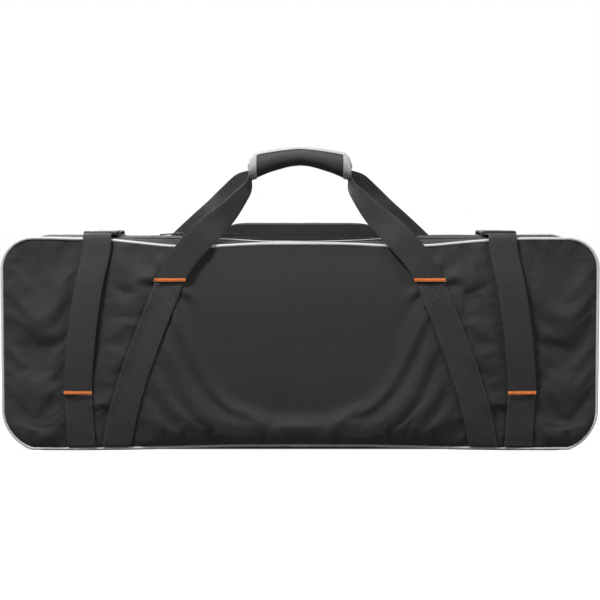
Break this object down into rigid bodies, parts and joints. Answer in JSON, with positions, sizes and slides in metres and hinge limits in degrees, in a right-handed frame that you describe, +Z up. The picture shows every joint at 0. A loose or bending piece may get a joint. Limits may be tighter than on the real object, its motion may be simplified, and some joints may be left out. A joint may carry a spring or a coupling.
{
  "type": "telescope carry case",
  "caption": "Long padded soft carry case with a zipped fold-down front lid, lash straps with side-release buckles, grey piping, and webbing handles joined by a wrap grip.",
  "frame": {"origin": "middle of the flat underside of the base, on the surface that the case stands on", "axes": "+X along the case to its right end seen from the front, -Y out of the front, +Z up"},
  "size_m": [0.8134, 0.2645, 0.414],
  "materials": {
    "shell_fabric": "matte woven nylon with a fine weave",
    "foam_padding": "matte closed-cell foam",
    "lining_fabric": "smooth woven lining",
    "stiff_board": "matte stiffener sheet",
    "piping_cord": "light grey satin covered cord",
    "webbing": "flat woven webbing",
    "bartack_thread": "dense orange stitching",
    "zip_tape": "woven zip tape",
    "zip_coil": "moulded coil",
    "zip_metal": "dark lacquered die-cast metal",
    "buckle_plastic": "moulded acetal with a soft gloss",
    "grip_fabric": "padded black fabric",
    "binding_tape": "light grey woven binding"
  },
  "bodies": {
    "case": {"base_panel": "shell_fabric", "base_board": "stiff_board", "base_padding": "foam_padding", "base_lining": "lining_fabric", "left_end_panel": "shell_fabric", "right_end_panel": "shell_fabric", "top_panel": "shell_fabric", "wall_padding": "foam_padding", "wall_lining": "lining_fabric", "rear_panel": "shell_fabric", "rear_padding": "foam_padding", "rear_lining": "lining_fabric", "rear_piping": "piping_cord", "case_zip_tape": "zip_tape", "case_zip_teeth": "zip_coil", "rear_webbing_left": "webbing", "rear_webbing_right": "webbing", "rear_strap_left": "webbing", "rear_strap_right": "webbing", "pocket_back": "shell_fabric", "pocket_gusset": "shell_fabric", "pocket_zip": "zip_coil"},
    "lid": {"front_panel": "shell_fabric", "front_padding": "foam_padding", "front_lining": "lining_fabric", "front_piping": "piping_cord", "lid_rim": "shell_fabric", "lid_rim_padding": "foam_padding", "lid_zip_tape": "zip_tape", "lid_zip_teeth": "zip_coil", "front_webbing_left": "webbing", "front_webbing_right": "webbing", "lash_base_left": "webbing", "lash_base_right": "webbing", "handle_bartack_left": "bartack_thread", "handle_bartack_right": "bartack_thread", "lash_bartack_left": "bartack_thread", "lash_bartack_right": "bartack_thread"},
    "front_handle": {"front_handle_webbing": "webbing", "front_grip_pad": "grip_fabric", "front_grip_binding_left": "binding_tape", "front_grip_binding_right": "binding_tape"},
    "rear_handle": {"rear_handle_webbing": "webbing", "rear_grip_pad": "grip_fabric", "rear_grip_binding_left": "binding_tape", "rear_grip_binding_right": "binding_tape"},
    "lash_left": {"lash_strap_left": "webbing", "buckle_socket_left": "buckle_plastic"},
    "lash_right": {"lash_strap_right": "webbing", "buckle_socket_right": "buckle_plastic"},
    "buckle_plug_left": {"buckle_plug_left": "buckle_plastic"},
    "buckle_plug_right": {"buckle_plug_right": "buckle_plastic"},
    "slider_left": {"slider_left": "zip_metal"},
    "slider_right": {"slider_right": "zip_metal"},
    "pull_left": {"pull_left": "zip_metal"},
    "pull_right": {"pull_right": "zip_metal"},
    "pocket_cover": {"pocket_cover": "shell_fabric"},
    "pocket_slider": {"pocket_slider": "zip_metal"},
    "pocket_pull": {"pocket_pull": "zip_metal"}
  },
  "joints": [
    {"name": "lid_hinge", "type": "hinge", "parent": "case", "child": "lid", "pos_m": [0, -0.1, 0.003], "axis": [1, 0, 0], "range_deg": [0, 85]},
    {"name": "front_handle_hinge", "type": "hinge", "parent": "lid", "child": "front_handle", "pos_m": [0, -0.1144, 0.234], "axis": [1, 0, 0], "range_deg": [0, 120]},
    {"name": "rear_handle_hinge", "type": "hinge", "parent": "case", "child": "rear_handle", "pos_m": [0, 0.10954, 0.234], "axis": [-1, 0, 0], "range_deg": [0, 90]},
    {"name": "pocket_cover_hinge", "type": "hinge", "parent": "case", "child": "pocket_cover", "pos_m": [0, 0.1436, 0.045], "axis": [-1, 0, 0], "range_deg": [0, 100]},
    {"name": "pocket_slider_slide", "type": "slide", "parent": "case", "child": "pocket_slider", "axis": [0, 0, 1], "range_m": [0, 0.14]},
    {"name": "pocket_pull_hinge", "type": "hinge", "parent": "pocket_slider", "child": "pocket_pull", "pos_m": [0.1152, 0.13805, 0.0727], "axis": [0, -1, 0], "range_deg": [0, 90]},
    {"name": "lash_hinge_left", "type": "hinge", "parent": "lid", "child": "lash_left", "pos_m": [-0.301, -0.1114, 0.081], "axis": [1, 0, 0], "range_deg": [0, 100]},
    {"name": "buckle_release_left", "type": "slide", "parent": "case", "child": "buckle_plug_left", "axis": [0, 1, 0], "range_m": [0, 0.03]},
    {"name": "slider_slide_left", "type": "slide", "parent": "case", "child": "slider_left", "axis": [-1, 0, 0], "range_m": [0, 0.055]},
    {"name": "pull_hinge_left", "type": "hinge", "parent": "slider_left", "child": "pull_left", "pos_m": [-0.1595, -0.065, 0.2965], "axis": [0, 1, 0], "range_deg": [0, 80]},
    {"name": "lash_hinge_right", "type": "hinge", "parent": "lid", "child": "lash_right", "pos_m": [0.301, -0.1114, 0.081], "axis": [1, 0, 0], "range_deg": [0, 100]},
    {"name": "buckle_release_right", "type": "slide", "parent": "case", "child": "buckle_plug_right", "axis": [0, 1, 0], "range_m": [0, 0.03]},
    {"name": "slider_slide_right", "type": "slide", "parent": "case", "child": "slider_right", "axis": [1, 0, 0], "range_m": [0, 0.33]},
    {"name": "pull_hinge_right", "type": "hinge", "parent": "slider_right", "child": "pull_right", "pos_m": [-0.1185, -0.065, 0.2965], "axis": [0, -1, 0], "range_deg": [0, 80]}
  ]
}
